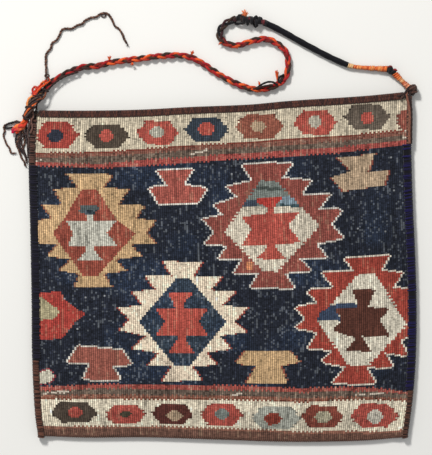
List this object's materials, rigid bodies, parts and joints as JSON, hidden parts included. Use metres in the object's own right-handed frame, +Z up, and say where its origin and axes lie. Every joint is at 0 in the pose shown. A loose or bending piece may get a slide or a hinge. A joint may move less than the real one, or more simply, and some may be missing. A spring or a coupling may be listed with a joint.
{
  "type": "kilim bag",
  "caption": "Small flat-woven wool shoulder bag with stepped medallions, overcast side seams, a bound open mouth and a joined cord strap, lying flat.",
  "frame": {"origin": "middle of the lying bag without its cords, on the surface it lies on", "axes": "+X along the bag's width, towards its right side seen from above; +Y towards the open mouth; +Z up out of the patterned front"},
  "size_m": [0.4375, 0.454, 0.0194],
  "materials": {
    "kilim_cloth": "matte flat-woven wool, navy ground with madder, ochre and ivory fields",
    "brown_wool": "matte dark brown overcast wool",
    "indigo_wool": "matte deep indigo overcast wool",
    "strap_wool": "plied red, orange and dark brown wool",
    "black_wool": "smooth blue-black cord",
    "orange_wool": "bright orange wool wound round a core",
    "dark_wool": "dark brown goat-hair cord"
  },
  "bodies": {
    "root": {"kilim_body": "kilim_cloth", "front_mouth_binding": "brown_wool", "back_mouth_binding": "brown_wool", "left_seam_top": "brown_wool", "left_seam_middle": "indigo_wool", "left_seam_bottom": "brown_wool", "right_seam_top": "brown_wool", "right_seam_middle": "indigo_wool", "right_seam_bottom": "brown_wool", "right_corner_knot": "brown_wool", "strap_braid": "strap_wool", "strap_knot": "black_wool", "navy_cord": "black_wool", "upper_wrapped_cord": "orange_wool", "whipping_knot": "black_wool", "lower_wrapped_cord": "orange_wool", "left_tie": "dark_wool", "left_tassel": "orange_wool", "tie_cord": "dark_wool", "tie_tail_outer": "dark_wool", "tie_tail_inner": "dark_wool", "tie_loop": "dark_wool"}
  },
  "joints": []
}
